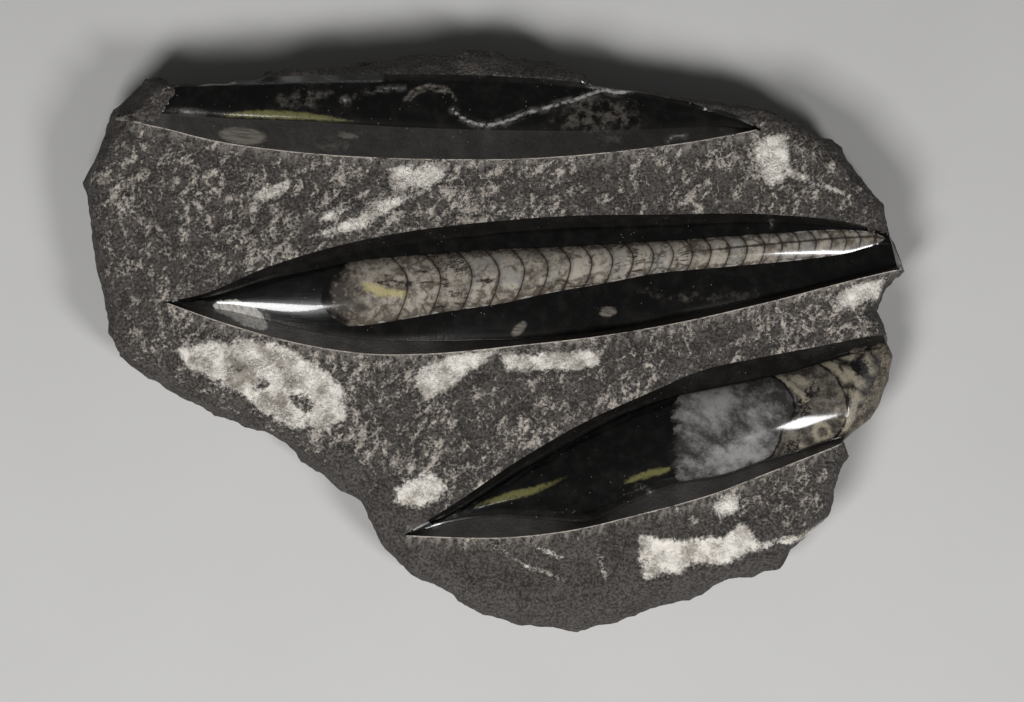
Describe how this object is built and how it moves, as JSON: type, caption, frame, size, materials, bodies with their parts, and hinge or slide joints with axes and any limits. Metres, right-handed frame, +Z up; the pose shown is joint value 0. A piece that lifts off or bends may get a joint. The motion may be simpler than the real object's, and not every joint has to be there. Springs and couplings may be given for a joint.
{
  "type": "orthoceras fossil",
  "caption": "Rough dark limestone slab with three polished boat-shaped troughs, each round a rounded ridge; two of the ridges hold a straight chambered orthocone fossil in section.",
  "frame": {"origin": "middle of the slab's plan, on its sawn base", "axes": "+X along the slab's length, towards the narrow end of the middle fossil, +Y across it towards the upper black ridge, +Z up out of the polished top"},
  "size_m": [0.2616, 0.1856, 0.0315],
  "materials": {
    "matrix": "dark grey limestone, chiselled and bruised white outside, ground and polished near black inside the troughs",
    "middle_orthocone": "polished cream and grey calcite with fine dark chamber walls and a dark central tube",
    "lower_orthocone": "polished cloudy grey-white calcite and cream sediment with dark chamber walls, broken brown at the far end"
  },
  "bodies": {
    "root": {"matrix": "matrix", "middle_orthocone": "middle_orthocone", "lower_orthocone": "lower_orthocone"}
  },
  "joints": []
}
